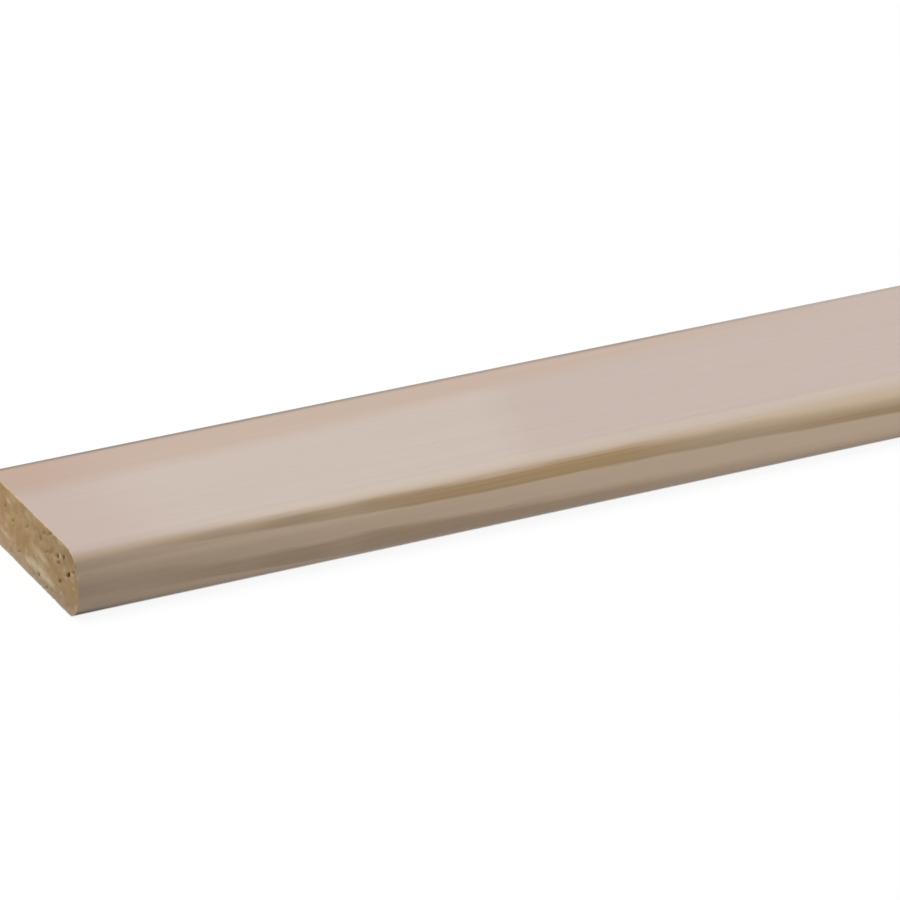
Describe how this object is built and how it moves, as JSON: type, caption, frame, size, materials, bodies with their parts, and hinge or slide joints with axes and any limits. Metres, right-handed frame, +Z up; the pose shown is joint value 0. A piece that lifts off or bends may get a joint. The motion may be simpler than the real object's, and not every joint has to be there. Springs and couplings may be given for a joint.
{
  "type": "rounded timber batten",
  "caption": "Straight flat batten of planed pale softwood with all long edges rounded and square sawn ends, used as trim, cover strip or slat.",
  "frame": {"origin": "middle of the wide face that the batten lies on", "axes": "+X along the grain, +Y across the wide faces, +Z up through the thickness"},
  "size_m": [2.4, 0.04, 0.012],
  "materials": {
    "timber": "planed, unfinished softwood on the long faces, rough sawn end grain on both ends"
  },
  "bodies": {
    "root": {"batten": "timber"}
  },
  "joints": []
}
